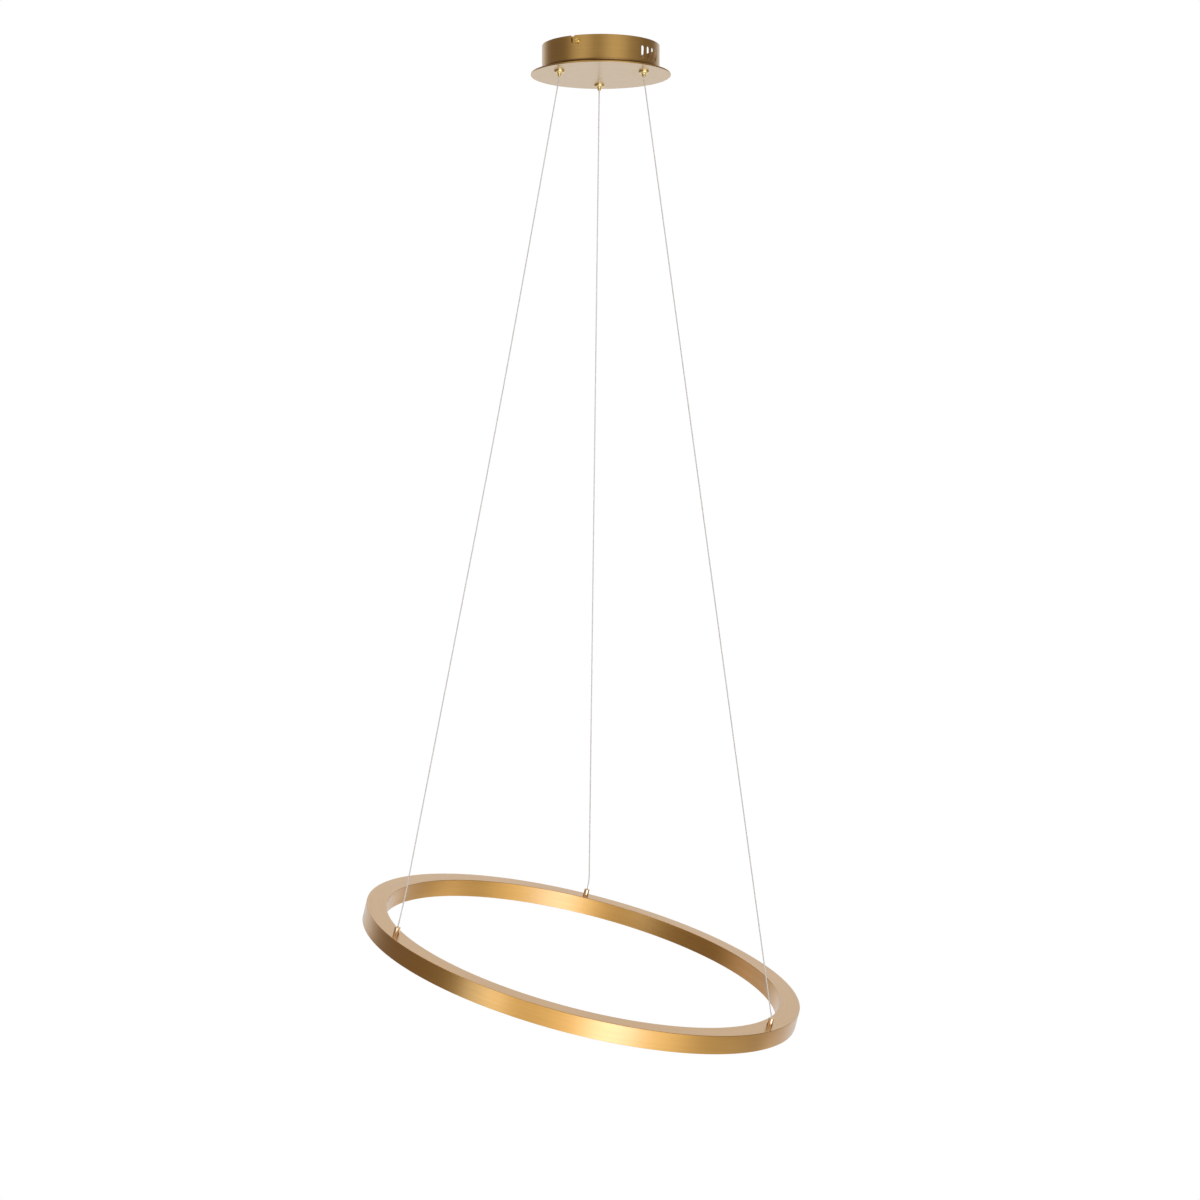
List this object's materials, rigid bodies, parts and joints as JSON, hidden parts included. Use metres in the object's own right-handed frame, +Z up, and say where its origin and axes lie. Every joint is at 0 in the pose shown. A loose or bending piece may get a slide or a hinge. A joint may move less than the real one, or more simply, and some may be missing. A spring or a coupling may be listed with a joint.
{
  "type": "led pendant light",
  "caption": "Ring-shaped LED pendant hung at a slope on thin cables from a round canopy, with adjustable cable grippers and a bayonet ceiling fixing.",
  "frame": {"origin": "centre of the ceiling bracket's top face, in the ceiling plane, on the canopy's axis", "axes": "+Z up, square to the ceiling; -Y towards the front; +X to the right seen from the front, where the ring hangs lower"},
  "size_m": [0.5876, 0.5994, 1.3127],
  "materials": {
    "satin_gold": "satin gold-bronze lacquer over brushed metal",
    "polished_brass": "polished",
    "zinc_steel": "zinc plated",
    "bearing_steel": "polished steel",
    "bare_aluminium": "mill finish",
    "clear_cable": "clear sheath over fine steel wire",
    "opal_diffuser": "opal, satin",
    "white_plastic": "moulded",
    "grey_plastic": "moulded",
    "circuit_board": "green board",
    "transformer_tape": "yellow tape",
    "capacitor_sleeve": "black sleeve",
    "brown_lead": "insulated wire",
    "red_lead": "insulated wire",
    "earth_lead": "insulated wire",
    "strip_white": "flexible strip",
    "led_phosphor": "phosphor"
  },
  "bodies": {
    "ceiling_fixture": {"ceiling_bracket": "satin_gold", "lock_nuts": "zinc_steel"},
    "canopy": {"canopy_drum": "satin_gold", "canopy_plate": "satin_gold", "gripper_washers": "zinc_steel", "gripper_nuts": "polished_brass", "gripper_caps": "polished_brass", "driver_case": "white_plastic", "driver_lid": "white_plastic", "driver_board": "circuit_board", "driver_transformer": "transformer_tape", "driver_capacitors": "capacitor_sleeve", "terminal_block": "white_plastic", "terminal_screws": "zinc_steel", "terminal_fixing_screw": "zinc_steel", "driver_screws": "zinc_steel", "earth_screw": "polished_brass", "output_connector": "grey_plastic", "driver_input_leads": "brown_lead", "driver_output_leads": "red_lead", "earth_lead": "earth_lead", "left_gripper_body": "polished_brass", "left_spring": "bearing_steel", "left_cable_tail": "clear_cable", "right_gripper_body": "polished_brass", "right_spring": "bearing_steel", "right_cable_tail": "clear_cable", "rear_gripper_body": "polished_brass", "rear_spring": "bearing_steel", "rear_cable_tail": "clear_cable"},
    "front_lock_screw": {"front_lock_screw": "polished_brass"},
    "rear_lock_screw": {"rear_lock_screw": "polished_brass"},
    "suspension": {"left_cable": "clear_cable", "right_cable": "clear_cable", "rear_cable": "clear_cable"},
    "ring": {"ring_housing": "satin_gold", "ring_connectors": "polished_brass", "cable_ferrules": "zinc_steel", "connector_bushes": "white_plastic", "connector_washers": "zinc_steel", "connector_nuts": "polished_brass", "led_carrier": "bare_aluminium", "led_strip": "strip_white", "led_chips": "led_phosphor", "diffuser": "opal_diffuser", "ring_feed_wires": "red_lead"},
    "left_release": {"left_plunger": "polished_brass", "left_grip_balls": "bearing_steel"},
    "right_release": {"right_plunger": "polished_brass", "right_grip_balls": "bearing_steel"},
    "rear_release": {"rear_plunger": "polished_brass", "rear_grip_balls": "bearing_steel"}
  },
  "joints": [
    {"name": "canopy_twist", "type": "hinge", "parent": "ceiling_fixture", "child": "canopy", "pos_m": [0, 0, 0], "axis": [0, 0, 1], "range_deg": [0, 5.3]},
    {"name": "front_lock_screw_turn", "type": "hinge", "parent": "ceiling_fixture", "child": "front_lock_screw", "pos_m": [-0.03042, -0.07237, -0.0076], "axis": [-0.3875, -0.9219, 0], "range_deg": [0, 540]},
    {"name": "rear_lock_screw_turn", "type": "hinge", "parent": "ceiling_fixture", "child": "rear_lock_screw", "pos_m": [0.03042, 0.07237, -0.0076], "axis": [0.3875, 0.9219, 0], "range_deg": [0, 540]},
    {"name": "ring_swing", "type": "hinge", "parent": "canopy", "child": "suspension", "pos_m": [0, -0.0004, -0.0467], "axis": [1, 0, 0], "range_deg": [-6, 6]},
    {"name": "ring_height", "type": "slide", "parent": "suspension", "child": "ring", "axis": [0, 0, 1], "range_m": [0, 0.9], "deforming": ["left_cable", "right_cable", "rear_cable"]},
    {"name": "left_release_push", "type": "slide", "parent": "canopy", "child": "left_release", "axis": [0, 0, 1], "range_m": [0, 0.0025], "stiffness_N_per_m": 400, "springref_m": -0.003, "deforming": ["left_spring"]},
    {"name": "right_release_push", "type": "slide", "parent": "canopy", "child": "right_release", "axis": [0, 0, 1], "range_m": [0, 0.0025], "stiffness_N_per_m": 400, "springref_m": -0.003, "deforming": ["right_spring"]},
    {"name": "rear_release_push", "type": "slide", "parent": "canopy", "child": "rear_release", "axis": [0, 0, 1], "range_m": [0, 0.0025], "stiffness_N_per_m": 400, "springref_m": -0.003, "deforming": ["rear_spring"]}
  ]
}
